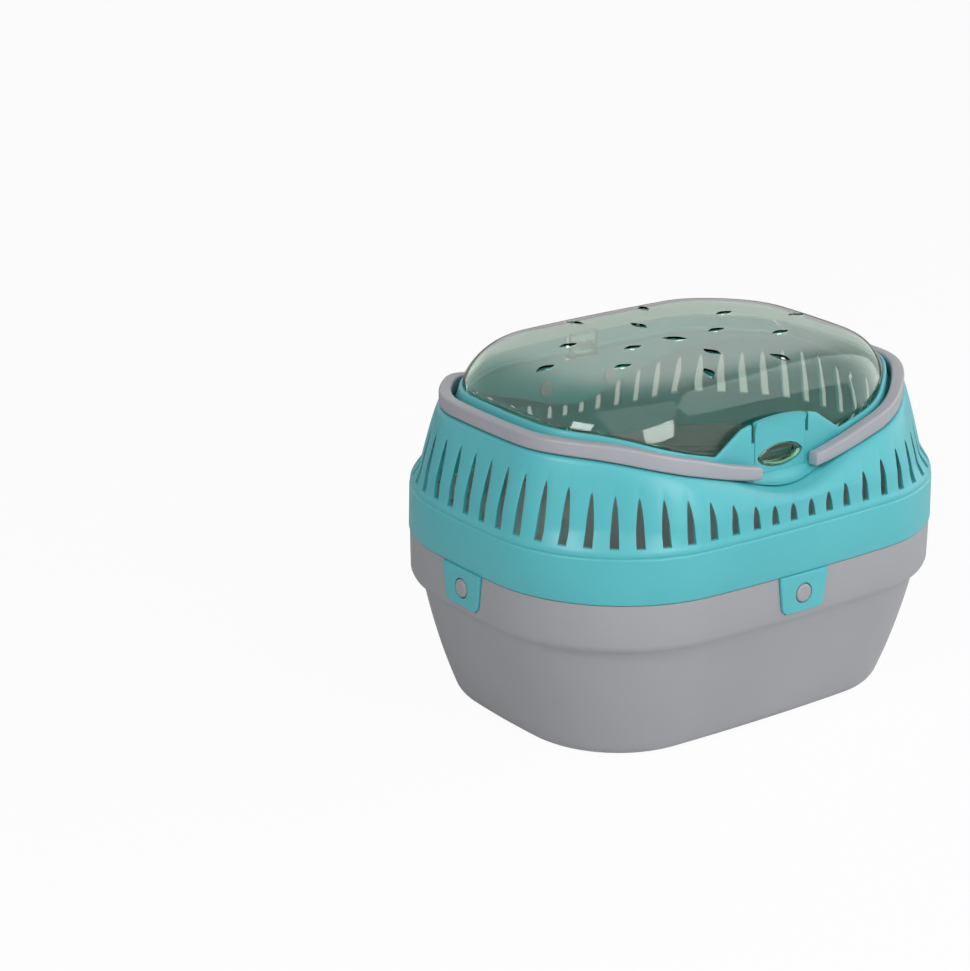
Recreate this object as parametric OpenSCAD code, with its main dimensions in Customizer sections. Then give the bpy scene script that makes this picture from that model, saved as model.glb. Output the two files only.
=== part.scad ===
/* [Outline] */
// Length of the carrier, end to end
body_l = 300; // [290:2:320]
// Width of the carrier, front to back
body_w = 232; // [224:2:244]
// Bow of the two long sides, as a radius
side_r = 1400; // [1100:50:1800]
// Bow of the two ends, as a radius
end_r = 590; // [480:10:700]
// Radius of the four corners
corner_r = 88; // [84:1:92]
// How far the corners of the upper wall draw in past the flange
corner_pull = 5; // [0:0.5:6]

/* [Tub] */
// Height of the seam, where the top shell sits on the tub
seam_z = 101.5; // [96:0.5:108]
// Height of the plain band below the seam
band_h = 24.5; // [18:0.5:28]
// How far the tub's wall steps in under the band
band_step = 7; // [5:0.5:8]
// How far the foot of the tub is set in from the flange
foot_inset = 35; // [32:0.5:38]
// Wall of the tub
tub_wall = 2.4; // [1.8:0.1:2.8]
// Thickness of the tub's floor
floor_t = 2.6; // [2:0.1:4]
// How far the floor is raised inside its foot ring
floor_lift = 1.5; // [0.5:0.1:3]
// Height of the tongue that goes up inside the shell
tongue_h = 10; // [6:0.5:14]

/* [Top shell] */
// Wall of the top shell
shell_wall = 2.4; // [2:0.1:2.6]
// Height of the flange, from the seam to its groove
flange_h = 26; // [22:0.5:30]
// Height of the handle seat above the seam at the front centre
seat_h = 52; // [49:0.5:56]
// How far the saddle rises from the front centre to the ends
saddle_rise = 25; // [18:0.5:28]
// Distance from the ends at which the saddle stops rising
saddle_end = 15; // [10:1:25]
// Height of the collar above the handle seat
collar_h = 11; // [10:0.5:13]
// How far the collar is set in from the flange
collar_inset = 22.7; // [22:0.1:24]
// Thickness of the collar
collar_t = 2.2; // [1.8:0.1:2.6]
// How far the collar leans in at its rim, at the front
front_lean = 0.5; // [0.3:0.1:0.6]
// How much more it leans in at the corners and ends, clear of the handles
end_lean = 1.7; // [1.5:0.1:2]
// How much more the tall level wall at the back leans in
rear_lean = 3; // [2.5:0.1:3.4]
// How far the seat dips under the handle ends, for the fingers
finger_dip = 5.5; // [3:0.5:6]
// Half length of that dip
dip_x = 48; // [44:1:54]
// Height of the front arch above the collar's lowest point
arch_h = 22.5; // [20:0.5:26]

/* [Slots] */
// Width of a slot at its flat bottom
slot_w = 5.2; // [3.6:0.2:6]
// Pitch of the slots around the wall
slot_pitch = 14.8; // [13.6:0.1:16]
// Pitch of the short slots under the latch
short_pitch = 13.2; // [12.4:0.1:14]
// Height of the slots' bottoms above the flange's groove
slot_rise = 5.4; // [4:0.2:7]
// Plain wall left between a slot's tip and the handle seat
slot_margin = 11; // [9:0.5:14]

/* [Lid] */
// Height of the dome above the collar's lowest point
dome_h = 44.5; // [38:0.5:50]
// Thickness of the clear lid
lid_t = 2; // [1.6:0.1:2.4]
// Gap between the lid's skirt and the collar
lid_gap = 1.2; // [1:0.1:1.4]
// How much further in the skirt's lower edge stands
skirt_in = 1.2; // [1:0.1:1.4]
// How square the dome's shoulder is
dome_power = 16; // [8:1:20]
// Width of a vent, across
vent_w = 5; // [3:0.5:7]
// Length of the middle vent; the others are shorter
vent_l = 15; // [12:0.5:18]

/* [Hinge] */
// Width of the lid's hinge barrel
barrel_w = 21; // [16:0.5:22]
// Radius of the hinge barrel
barrel_r = 3.4; // [3:0.1:3.6]
// Radius of the barrel's stub pins
stub_r = 2; // [1.5:0.1:2.2]
// Thickness of the two ears on the shell
ear_t = 3.4; // [2.4:0.1:3.6]
// Height of the hinge's axis below the rim of the back wall
hinge_drop = 12; // [10:0.5:13]
// Radial play of a pin in its hole
pin_play = 0.08; // [0.05:0.01:0.1]

/* [Handles] */
// Height of a handle's bar
bar_h = 7.5; // [6.5:0.25:8]
// Depth of a handle's bar, from its outer to its inner face
bar_t = 6.4; // [5.5:0.1:6.6]
// Gap between the bar and its seat
bar_gap = 0.5; // [0.4:0.1:0.8]
// Gap between the bar and the collar's foot
bar_play = 1.2; // [1:0.1:1.6]
// Distance of each handle end from the middle
handle_x = 20; // [18.5:0.5:22]
// Distance of the pivot from the handle's end
pivot_in = 4.2; // [4:0.1:4.6]
// Radius of the handle's pivot pins
pivot_r = 2.4; // [1.8:0.1:2.6]
// Radius of the heads that hold the pins, inside the collar
head_r = 4.3; // [3.6:0.1:4.4]
// Thickness of those heads
head_t = 0.9; // [0.7:0.1:1]

/* [Latch and clips] */
// Half width of the flexible latch tongue
latch_x = 18.25; // [17.5:0.25:19.5]
// Width of the oval window in the latch tongue
oval_w = 33; // [28:0.5:34]
// Height of that window
oval_h = 13.6; // [11:0.2:14]
// Width of the two slits beside the latch tongue
slit_w = 2.2; // [1:0.1:2.6]
// How far the slits run down from the top of the arch
slit_h = 13; // [10:0.5:15]
// How far the lid's lug stands into the window
lug_t = 1.4; // [0.8:0.1:1.6]
// Width of a clip at its root
clip_w = 35; // [28:1:38]
// Width of a clip at its free end
clip_tip_w = 29; // [24:1:32]
// Length of a clip below the seam
clip_l = 22.5; // [19:0.5:23.5]
// Thickness of a clip
clip_t = 2; // [1.6:0.1:2.2]
// Radius of the tub's studs
stud_r = 5.3; // [4.5:0.1:6]
// Play around each stud in its clip
stud_play = 0.6; // [0.5:0.05:0.8]
// Height of the studs below the seam
stud_drop = 12; // [11:0.25:12.5]

/* [Hidden] */
$fn = 96;

turquoise = [0.37, 0.75, 0.80];
grey = [0.63, 0.63, 0.65];
handle_grey = [0.67, 0.66, 0.70];
clear = [0.80, 0.88, 0.86, 0.45];

half_l = body_l / 2;
half_w = body_w / 2;
gap = 0.3;
seat_z = seam_z + seat_h;
collar_z = seat_z + collar_h;
arch_z = collar_z + arch_h;
dome_z = collar_z + dome_h;
shelf_drop = 7;
shelf_t = 2.2;
shelf_w = 3;
flange_draft = 0.5;
band_inset = 0.6;
tongue_inset = shell_wall + 1;
clip_proud = 0.9;

// The outline is four bows joined by four corner arcs; these are its centres.
side_c = [0, half_w - side_r];
end_c = [half_l - end_r, 0];
side_d = side_r - corner_r;
end_d = end_r - corner_r;
span = norm(end_c - side_c);
along = (side_d * side_d - end_d * end_d + span * span) / (2 * span);
across = sqrt(side_d * side_d - along * along);
toward = (end_c - side_c) / span;
corner_c = side_c + toward * along + [toward[1], -toward[0]] * across;
side_a = atan2(corner_c[1] - side_c[1], corner_c[0] - side_c[0]);
end_a = atan2(corner_c[1] - end_c[1], corner_c[0] - end_c[0]);

// Point of the outline whose normal points at angle a, moved out by d.
function fold(a) = atan2(abs(sin(a)), abs(cos(a)));
function bow(b, d) =
    b > side_a ? side_c + (side_r + d) * [cos(b), sin(b)] :
    b < end_a ? end_c + (end_r + d) * [cos(b), sin(b)] :
    corner_c + (corner_r + d) * [cos(b), sin(b)];
function spot(a, d) =
    let(p = bow(fold(a), d))
    [cos(a) < 0 ? -p[0] : p[0], sin(a) < 0 ? -p[1] : p[1]];
function pull(a) =
    let(b = (fold(a) - end_a) / (side_a - end_a))
    b > 0 && b < 1 ? corner_pull * pow(sin(180 * b), 2) : 0;

// The saddle, the finger dip and the arch, by distance from the middle.
function saddle(x) = saddle_rise * pow(sin(90 * min(1, abs(x) / (half_l - saddle_end))), 2);
function rise(a) = saddle(spot(a, -collar_inset)[0]);
function dip(x) = abs(x) < dip_x ? pow(cos(90 * x / dip_x), 2) : 0;
function arch(x) = min(arch_z - x * x / 190, arch_z + 15 - abs(x) * 0.69);
function front(a) = sin(a) < 0;

// The rim follows the saddle and the arch at the front and is level at the back.
function lift(a) = front(a) ? rise(a) : saddle_rise;
function rim_z(a) =
    let(z = collar_z + lift(a))
    front(a) ? max(z, arch(spot(a, -collar_inset)[0])) : z;

// Angles that sample a quarter of the outline, from the end to the long side.
function side_angle(x) = acos(x / side_r);
corner_x = corner_c[0] + corner_r * cos(side_a);
end_y = corner_c[1] + corner_r * sin(end_a);
shell_quarter = concat(
    [for (y = [0, 0.5]) asin(y * end_y / end_r)],
    [for (i = [0:8]) end_a + (side_a - end_a) * i / 8],
    [for (x = [(corner_x + 46) / 2, 46, 37, 28, 20, 12, 0]) side_angle(x)]
);
lid_quarter = concat(
    [0], [for (i = [0:8]) end_a + (side_a - end_a) * i / 8],
    [for (x = [corner_x * 0.62, corner_x * 0.3, 0]) side_angle(x)]
);
function around(q) =
    let(n = len(q))
    concat(
        q,
        [for (i = [n - 2:-1:0]) 180 - q[i]],
        [for (i = [1:n - 1]) 180 + q[i]],
        [for (i = [n - 2:-1:1]) 360 - q[i]]
    );

shell_around = around(shell_quarter);
lid_around = around(lid_quarter);

function flat(lists) = [for (l = lists) each l];
function band_faces(n, low, high) = flat([
    for (i = [0:n - 1])
        let(j = (i + 1) % n)
        [[low * n + i, high * n + i, high * n + j], [low * n + i, high * n + j, low * n + j]]
]);

// A closed tube of rings that runs around the outline.
module hoop(rings) {
    n = len(rings[0]);
    m = len(rings);
    polyhedron(points = flat(rings), faces = flat([for (k = [0:m - 1]) band_faces(n, k, (k + 1) % m)]));
}

// A skin over rings, closed by a flat cap at each end.
module skin(rings) {
    n = len(rings[0]);
    m = len(rings);
    caps = [[for (i = [0:n - 1]) i], [for (i = [n - 1:-1:0]) (m - 1) * n + i]];
    polyhedron(points = flat(rings), faces = concat(flat([for (k = [0:m - 2]) band_faces(n, k, k + 1)]), caps));
}

function ring(angles, d, z) = [for (a = angles) let(p = spot(a, d)) [p[0], p[1], z]];
function curve(p, q, r, t) = p * (1 - t) * (1 - t) + 2 * q * t * (1 - t) + r * t * t;

// Grey tub: foot ring, leaning wall, plain band and the tongue inside the shell.
band_z = seam_z - band_h;
wall_top = [-band_inset - band_step - 1, band_z - 11];
wall_foot = [-foot_inset + 8, 5];
function tub_lean(t) = curve(wall_foot, [wall_foot[0] + 11, wall_foot[1] + 27], wall_top, t);
tub_outer = concat(
    [[-foot_inset, 0], [-foot_inset + 4, 0.9], [-foot_inset + 6.4, 2.6]],
    [for (t = [0:0.2:1]) tub_lean(t)],
    [
        [-band_inset - band_step + 0.4, band_z - 8], [-band_inset - 3.4, band_z - 4.6],
        [-band_inset - 1.6, band_z - 2], [-band_inset - 0.8, band_z], [-band_inset, seam_z - gap]
    ]
);
tub_inner = concat(
    [[-band_inset - tub_wall, seam_z - gap - 6], [-band_inset - tub_wall - 0.6, band_z]],
    [[-band_inset - band_step + 0.4 - tub_wall, band_z - 8.5]],
    [for (t = [1:-0.25:0]) tub_lean(t) + [-tub_wall, 0.4]],
    [[-foot_inset + 2, floor_t + floor_lift], [-foot_inset - 12, floor_t + floor_lift], [-foot_inset - 12, 0]]
);
rim_profile = [
    [-tongue_inset, seam_z - gap], [-tongue_inset, seam_z + tongue_h],
    [-tongue_inset - tub_wall, seam_z + tongue_h], [-tongue_inset - tub_wall, seam_z - gap - 4]
];

module stud_ring() {
    for (side = [0:3]) at_side(side)
        translate([-clip_proud - 2, 0, seam_z - stud_drop])
            rotate([0, 90, 0])
                cylinder(r = stud_r, h = 2 * clip_proud + 2.7);
}

// Turns and moves the children to the outline's end or side, with +X pointing out.
module at_side(side) {
    reach = side % 2 == 0 ? half_l : half_w;
    rotate([0, 0, 90 * side]) translate([reach, 0, 0]) children();
}

module base_tub() color(grey) {
    difference() {
        union() {
            hoop([for (p = concat(tub_outer, rim_profile, tub_inner)) ring(lid_around, p[0], p[1])]);
            translate([0, 0, floor_lift])
                linear_extrude(floor_t)
                    polygon([for (a = lid_around) spot(a, -foot_inset - 6)]);
        }
        for (side = [0:3]) at_side(side)
            translate([clip_proud - clip_t - gap, -clip_w / 2 - 0.6, seam_z - clip_l - 0.6])
                cube([10, clip_w + 1.2, clip_l + 0.6]);
    }
    stud_ring();
}

// Turquoise top shell: rings of its outer face, its collar and its inner face.
groove_z = seam_z + flange_h;
shoulder_z = groove_z + 15.5;
edge_inset = collar_inset - 9.4;
function upper(a, d, z) = let(p = spot(a, d - pull(a))) [p[0], p[1], z];
function seat_edge_z(a) = seat_z + rise(a) - finger_dip * dip(spot(a, -collar_inset)[0]);
function collar_foot_z(a) = seat_z + rise(a) - (finger_dip - 1.5) * dip(spot(a, -collar_inset)[0]);
function lean(a, t) =
    let(
        top = [-edge_inset, seat_edge_z(a)],
        z1 = top[1] - (top[1] - shoulder_z) * 0.25,
        low = [-3.3, shoulder_z]
    )
    curve(low, [low[0] - 0.25 * (z1 - shoulder_z), z1], top, t);
function lean_ring(t, inset, drop) = [
    for (a = shell_around)
        let(p = lean(a, t))
        upper(a, p[0] - inset, p[1] - drop)
];
function lean_in(a) = front_lean + end_lean * min(1, 2 * abs(cos(a))) + rear_lean * max(0, sin(a));
function collar_d(a, z) =
    let(foot = collar_foot_z(a))
    -collar_inset - lean_in(a) * (z - foot) / (collar_z + lift(a) - foot);
function rim_ring(inset) = [
    for (a = shell_around)
        let(z = rim_z(a))
        upper(a, collar_d(a, z) - inset, z)
];
function shelf_z(a) = collar_z + lift(a) - shelf_drop;
function shelf_ring(inset, drop) = [
    for (a = shell_around)
        upper(a, collar_d(a, shelf_z(a)) - collar_t - inset, shelf_z(a) - drop)
];
under_ring = [
    for (a = shell_around)
        let(z = max(collar_foot_z(a) + 0.5, shelf_z(a) - shelf_t - shelf_w))
        upper(a, collar_d(a, z) - collar_t, z)
];
inner_foot = [
    for (a = shell_around)
        upper(a, -collar_inset - collar_t + 0.8, collar_foot_z(a) - shell_wall * 0.9)
];
shell_rings = [
    ring(shell_around, 0, seam_z),
    ring(shell_around, -flange_draft, groove_z),
    ring(shell_around, -flange_draft - 0.8, groove_z + 0.6),
    ring(shell_around, -flange_draft - 0.4, groove_z + 1.2),
    [for (a = shell_around) upper(a, -1.5 + pull(a), groove_z + 4)],
    [for (a = shell_around) upper(a, -2.2 + 0.5 * pull(a), groove_z + 7)],
    [for (a = shell_around) upper(a, -2.8 + 0.1 * pull(a), groove_z + 11)],
    lean_ring(0, 0, 0),
    lean_ring(0.35, 0, 0),
    lean_ring(0.7, 0, 0),
    lean_ring(1, 0, 0),
    [for (a = shell_around) upper(a, -collar_inset, collar_foot_z(a))],
    rim_ring(0),
    rim_ring(collar_t),
    shelf_ring(0, 0),
    shelf_ring(shelf_w, 0),
    shelf_ring(shelf_w, shelf_t),
    under_ring,
    inner_foot,
    lean_ring(0.8, shell_wall, shell_wall * 1.6),
    lean_ring(0.35, shell_wall, shell_wall * 0.5),
    lean_ring(0, shell_wall, 0),
    [for (a = shell_around) upper(a, -2.2 - shell_wall + 0.5 * pull(a), groove_z + 5.5)],
    ring(shell_around, -flange_draft - shell_wall, groove_z),
    ring(shell_around, -shell_wall, seam_z)
];

// One slot as a tapering blade at the outline's normal angle a, up to height top.
module slot(a, top) {
    p = spot(a, 0);
    low = groove_z + slot_rise;
    w = slot_w / 2;
    edge = [for (v = slot_edge) [v[0] * w, low + (top - low) * v[1]]];
    translate([p[0], p[1], 0])
        rotate([0, 0, a])
            rotate([90, 0, 90])
                translate([0, 0, -24])
                    linear_extrude(30)
                        polygon(concat(edge, [for (i = [len(edge) - 1:-1:0]) [-edge[i][0], edge[i][1]]]));
}
slot_edge = [[1, 0], [0.93, 0.5], [0.64, 0.84], [0.24, 1]];
function slot_top(a) = seat_z + rise(a) - slot_margin - 0.9 * pull(a);

// Slots are spaced along the outline, from the middle of each long side.
side_len = side_r * (90 - side_a) * PI / 180;
corner_len = corner_r * (side_a - end_a) * PI / 180;
end_len = end_r * end_a * PI / 180;
function walk(s) =
    s < side_len ? 90 - s / side_r * 180 / PI :
    s < side_len + corner_len ? side_a - (s - side_len) / corner_r * 180 / PI :
    end_a - (s - side_len - corner_len) / end_r * 180 / PI;
quarter_len = side_len + corner_len + end_len;
first_tall = 2.5 * short_pitch + slot_pitch;
tall_slots = floor((quarter_len - first_tall) / slot_pitch - 0.25);
tall_pitch = (quarter_len - first_tall) / (tall_slots + 1);
slot_places = concat([for (i = [0:2]) (i + 0.5) * short_pitch], [for (i = [0:tall_slots]) first_tall + i * tall_pitch]);
module all_slots() {
    for (s = slot_places) {
        a = walk(s);
        for (k = [a, 180 - a, 180 + a, 360 - a]) slot(k, slot_top(k));
    }
    for (k = [0, 180]) slot(k, slot_top(k));
}

pivot_x = handle_x + pivot_in;
bar_z = seat_z + bar_gap;
pivot_z = bar_z + saddle(pivot_x) + bar_h / 2;
bar_inner = -collar_inset + bar_play;
collar_y = half_w - collar_inset;
hinge_z = collar_z + saddle_rise - hinge_drop;
hinge_wall_y = half_w + collar_d(90, hinge_z);
hinge_y = hinge_wall_y + barrel_r + 1.6;
leaf_t = 2.4;

// Inner face of the collar at a pivot, at the back for side 1 and at the front for side -1.
function pin_face(side) =
    let(a = side * side_angle(pivot_x))
    abs(spot(a, collar_d(a, pivot_z) - collar_t)[1]);
latch_root_z = seat_z - finger_dip + 1.5 + 6.2;
oval_z = latch_root_z + oval_h / 2 + 2;

module handle_bores() {
    for (side = [-1, 1]) for (k = [-1, 1])
        translate([k * pivot_x, side * pin_face(side), pivot_z])
            rotate([-90 * side, 0, 0]) {
                cylinder(r = pivot_r + pin_play, h = collar_t + 3);
                translate([0, 0, -6]) cylinder(r = head_r + gap, h = 6);
            }
}

module hinge_ears() {
    for (k = [0, 1]) mirror([k, 0, 0])
        translate([barrel_w / 2 + gap, 0, 0]) {
            translate([0, hinge_y, hinge_z])
                rotate([0, 90, 0])
                    cylinder(r = barrel_r + 0.6, h = ear_t);
            translate([0, hinge_wall_y - collar_t / 2, hinge_z - barrel_r - 0.6])
                cube([ear_t, hinge_y - hinge_wall_y + collar_t / 2, 2 * barrel_r + 1.2]);
        }
}

module upper_shell() color(turquoise) {
    difference() {
        hoop(shell_rings);
        all_slots();
        translate([-latch_x - gap, -collar_y - 3, latch_root_z])
            cube([2 * (latch_x + gap), 12, 60]);
        for (k = [-1, 1])
            translate([k * (latch_x + gap + slit_w / 2) - slit_w / 2, -collar_y - 3, arch_z - slit_h])
                cube([slit_w, 8, 30]);
        translate([-barrel_w / 2 - gap, hinge_wall_y - 8, hinge_z - barrel_r - gap])
            cube([barrel_w + 2 * gap, 12, 30]);
        handle_bores();
    }
    difference() {
        hinge_ears();
        translate([-30, hinge_y, hinge_z])
            rotate([0, 90, 0])
                cylinder(r = stub_r + pin_play, h = 60);
    }
}

// Flexible part of the front arch, with its lip and its oval window.
function lens(w, h, n) = [
    for (i = [0:2 * n - 1])
        let(t = i < n ? i / n : 2 - i / n, s = i < n ? 1 : -1)
        [(t - 0.5) * w, s * h / 2 * pow(sin(180 * t), 0.8)]
];
latch_lean = front_lean / (collar_z - collar_foot_z(270));
latch_h = arch_z - latch_root_z;
module latch_tongue() color(turquoise)
    difference() {
        translate([0, -collar_y, 0]) intersection() {
            rotate([90, 0, 90])
                translate([0, 0, -latch_x])
                    linear_extrude(2 * latch_x)
                        polygon([
                            [0, latch_root_z + 0.05], [latch_lean * latch_h, arch_z - 3],
                            [latch_lean * latch_h - 1, arch_z - 2.4], [latch_lean * latch_h - 0.6, arch_z],
                            [latch_lean * latch_h + collar_t, arch_z], [collar_t, latch_root_z + 0.05]
                        ]);
            translate([0, 10, 0])
                rotate([90, 0, 0])
                    linear_extrude(20)
                        polygon(concat(
                            [[latch_x, 0], [-latch_x, 0]],
                            [for (i = [-4:4]) [i * latch_x / 4, arch(i * latch_x / 4)]]
                        ));
        }
        translate([0, -collar_y + 6, oval_z])
            rotate([90, 0, 0])
                linear_extrude(12)
                    polygon(lens(oval_w, oval_h, 12));
    }

// Clear lid: a skirt inside the collar and a square-shouldered dome above it.
function lid_d(a) = -collar_inset - lean_in(a) - collar_t - lid_gap;
skirt_back = 0.12;
function lid_base_z(a) = collar_z + lift(a) + 1;
function dome_fill(s) = pow(1 - pow(s, dome_power), 1.3);
function skirt_up(a) = min(1, max(0, (sin(a) - skirt_back) / 0.2));
function skirt_ring(inset) = [
    for (a = lid_around)
        let(up = skirt_up(a))
        upper(a, lid_d(a) - skirt_in * (1 - up) - inset, shelf_z(a) + gap + (shelf_drop + 0.6) * up)
];
function dome_ring(s, inset, drop) = [
    for (a = lid_around)
        let(
            p = upper(a, lid_d(a) - 0.4 - inset, 0),
            z = lid_base_z(a),
            top = dome_z - s * s - drop
        )
        [p[0] * s, p[1] * s, z + (top - z) * dome_fill(s)]
];
dome_steps = [1, 0.985, 0.965, 0.94, 0.91, 0.87, 0.8, 0.65, 0.35, 0.03];
inner_steps = [for (i = [len(dome_steps) - 1:-1:0]) dome_steps[i]];
lid_rings = concat(
    [for (s = inner_steps) dome_ring(s, lid_t, lid_t)],
    [skirt_ring(lid_t), skirt_ring(0)],
    [for (s = dome_steps) dome_ring(s, 0, 0)]
);

// Vents: the place of each, then the way that it points.
vent_places = concat(
    [[0, 0, -40, 1]],
    [for (k = [-1, 1]) each [[k * 31, 0, 0, 0.85], [0, k * 33, -85, 0.95], [k * 93, 0, 0, 0.85]]],
    [for (k = [-1, 1]) for (j = [-1, 1]) each [[k * 58, j * 25, 0, 0.85], [k * 26, j * 61, 70 * k * j, 0.9]]]
);
module vent(v) {
    l = vent_l * v[3];
    w = vent_w * v[3] * 1.2;
    r = (l * l + w * w) / (4 * w);
    translate([v[0], v[1], dome_z - 14])
        rotate([0, 0, v[2]])
            linear_extrude(20)
                intersection() {
                    translate([0, r - w / 2]) circle(r);
                    translate([0, w / 2 - r]) circle(r);
                }
}

lug_y = half_w + lid_d(270) - lid_t;
tab_y = half_w + lid_d(90) - lid_t;
module clear_lid() color(clear) {
    difference() {
        skin(lid_rings);
        for (v = vent_places) vent(v);
    }
    intersection() {
        translate([0, -lug_y, oval_z])
            rotate([90, 0, 0])
                linear_extrude(collar_y - collar_t + lug_t - lug_y)
                    polygon(lens(oval_w - 1, oval_h - 1, 12));
        translate([-30, -half_w, shelf_z(270) + gap])
            cube([60, half_w, 40]);
    }
    translate([-barrel_w / 2, tab_y, hinge_z - leaf_t / 2]) {
        cube([barrel_w, hinge_y - tab_y, leaf_t]);
        cube([barrel_w, lid_t, lid_base_z(90) + 2 - hinge_z + leaf_t / 2]);
    }
    translate([-barrel_w / 2, hinge_y, hinge_z])
        rotate([0, 90, 0])
            cylinder(r = barrel_r, h = barrel_w);
    translate([-barrel_w / 2 - ear_t, hinge_y, hinge_z])
        rotate([0, 90, 0])
            cylinder(r = stub_r, h = barrel_w + 2 * ear_t);
}

// Half handles: a rounded bar on the saddle, from the front pivot to the back one.
bar_quarter = concat(
    [for (y = [0, 0.5]) asin(y * end_y / end_r)],
    [for (i = [0:8]) end_a + (side_a - end_a) * i / 8],
    [for (x = [(corner_x + 44) / 2, 44, 34, handle_x + 5, handle_x]) side_angle(x)]
);
bar_angles = concat(
    [for (i = [len(bar_quarter) - 1:-1:0]) bar_quarter[i]],
    [for (i = [1:len(bar_quarter) - 1]) -bar_quarter[i]]
);
bar_round = 1.8;
bar_section = [
    for (c = [[0, 0, 180], [1, 0, 270], [1, 1, 0], [0, 1, 90]]) for (t = [0, 45, 90])
        [
            bar_inner + (c[0] == 0 ? bar_round : bar_t - bar_round) + bar_round * cos(c[2] + t),
            (c[1] == 0 ? bar_round : bar_h - bar_round) + bar_round * sin(c[2] + t)
        ]
];
bar_rings = [
    for (a = bar_angles)
        let(lift = bar_z + saddle(spot(a, bar_inner)[0]))
        [for (p = bar_section) upper(a, p[0], lift + p[1])]
];

module half_handle() {
    skin(bar_rings);
    for (side = [-1, 1]) {
        y = pin_face(side) - gap;
        translate([pivot_x, side * y, pivot_z])
            rotate([-90 * side, 0, 0]) {
                cylinder(r = pivot_r, h = collar_y + bar_play + 2 - y);
                translate([0, 0, -head_t]) cylinder(r = head_r, h = head_t + 0.1);
            }
    }
}
module handle_right() color(handle_grey) half_handle();
module handle_left() color(handle_grey) mirror([1, 0, 0]) half_handle();

// Clips: tapered tabs that hang from the seam over the studs.
module clip(side) {
    r = 4;
    tip = clip_tip_w / 2;
    low = -clip_l;
    at_side(side)
        translate([clip_proud - clip_t, 0, seam_z])
            rotate([90, 0, 90])
                linear_extrude(clip_t)
                    difference() {
                        polygon(concat(
                            [[-clip_w / 2, -0.05], [clip_w / 2, -0.05]],
                            [for (t = [0:-15:-90]) [tip - r + r * cos(t), low + r + r * sin(t)]],
                            [for (t = [-90:-15:-180]) [-tip + r + r * cos(t), low + r + r * sin(t)]]
                        ));
                        translate([0, -stud_drop]) circle(stud_r + stud_play);
                    }
}
module clip_right() color(turquoise) clip(0);
module clip_back() color(turquoise) clip(1);
module clip_left() color(turquoise) clip(2);
module clip_front() color(turquoise) clip(3);

base_tub();
upper_shell();
clear_lid();
handle_left();
handle_right();
latch_tongue();
clip_front();
clip_back();
clip_left();
clip_right();
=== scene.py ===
import math

import bmesh
import bpy
from mathutils import Matrix, Vector


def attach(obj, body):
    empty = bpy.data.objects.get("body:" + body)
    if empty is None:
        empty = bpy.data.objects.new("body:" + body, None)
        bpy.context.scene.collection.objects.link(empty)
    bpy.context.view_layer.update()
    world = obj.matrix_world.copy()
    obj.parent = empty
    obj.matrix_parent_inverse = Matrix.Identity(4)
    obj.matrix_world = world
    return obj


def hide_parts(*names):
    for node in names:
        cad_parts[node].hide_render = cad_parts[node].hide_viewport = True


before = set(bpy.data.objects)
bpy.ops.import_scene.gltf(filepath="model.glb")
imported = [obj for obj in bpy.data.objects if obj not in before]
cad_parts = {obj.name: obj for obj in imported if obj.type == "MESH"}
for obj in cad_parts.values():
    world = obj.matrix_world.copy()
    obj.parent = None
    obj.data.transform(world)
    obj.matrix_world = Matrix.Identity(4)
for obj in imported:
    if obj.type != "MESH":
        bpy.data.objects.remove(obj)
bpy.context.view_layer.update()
MM = 0.001


# Outline
HALF_L, HALF_W = 150.0, 116.0
SIDE_R, END_R, CORNER_R = 1400.0, 590.0, 88.0
PULL = 5.0
SIDE_C = (0.0, HALF_W - SIDE_R)
END_C = (HALF_L - END_R, 0.0)


def corner_centre():
    d1, d2 = SIDE_R - CORNER_R, END_R - CORNER_R
    dx, dy = END_C[0] - SIDE_C[0], END_C[1] - SIDE_C[1]
    span = math.hypot(dx, dy)
    along = (d1 * d1 - d2 * d2 + span * span) / (2 * span)
    across = math.sqrt(d1 * d1 - along * along)
    ux, uy = dx / span, dy / span
    return SIDE_C[0] + ux * along + uy * across, SIDE_C[1] + uy * along - ux * across


CORNER_C = corner_centre()
SIDE_A = math.atan2(CORNER_C[1] - SIDE_C[1], CORNER_C[0] - SIDE_C[0])
END_A = math.atan2(CORNER_C[1] - END_C[1], CORNER_C[0] - END_C[0])
SIDE_LEN = SIDE_R * (math.pi / 2 - SIDE_A)
CORNER_LEN = CORNER_R * (SIDE_A - END_A)
END_LEN = END_R * END_A
QUARTER = SIDE_LEN + CORNER_LEN + END_LEN


def fold(a):
    return math.atan2(abs(math.sin(a)), abs(math.cos(a)))


def spot(a, d):
    b = fold(a)
    if b > SIDE_A:
        centre, radius = SIDE_C, SIDE_R
    elif b < END_A:
        centre, radius = END_C, END_R
    else:
        centre, radius = CORNER_C, CORNER_R
    x = centre[0] + (radius + d) * math.cos(b)
    y = centre[1] + (radius + d) * math.sin(b)
    return (-x if math.cos(a) < 0 else x), (-y if math.sin(a) < 0 else y)


def pull(a):
    t = (fold(a) - END_A) / (SIDE_A - END_A)
    return PULL * math.sin(math.pi * t) ** 2 if 0 < t < 1 else 0.0


def walk(s):
    if s < SIDE_LEN:
        return math.pi / 2 - s / SIDE_R
    if s < SIDE_LEN + CORNER_LEN:
        return SIDE_A - (s - SIDE_LEN) / CORNER_R
    return END_A - (s - SIDE_LEN - CORNER_LEN) / END_R


def angle_at(s):
    """Normal angle at distance s around the outline, from the middle of the front."""
    s %= 4 * QUARTER
    if s > 4 * QUARTER - 1e-9:
        s = 0.0
    k, r = divmod(s, QUARTER)
    if k == 0:
        return -walk(r)
    if k == 1:
        return walk(QUARTER - r)
    if k == 2:
        return math.pi - walk(r)
    return math.pi + walk(QUARTER - r)


def smooth(t):
    t = min(1.0, max(0.0, t))
    return t * t * (3 - 2 * t)


def mix(a, b, t):
    return a + (b - a) * t


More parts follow.
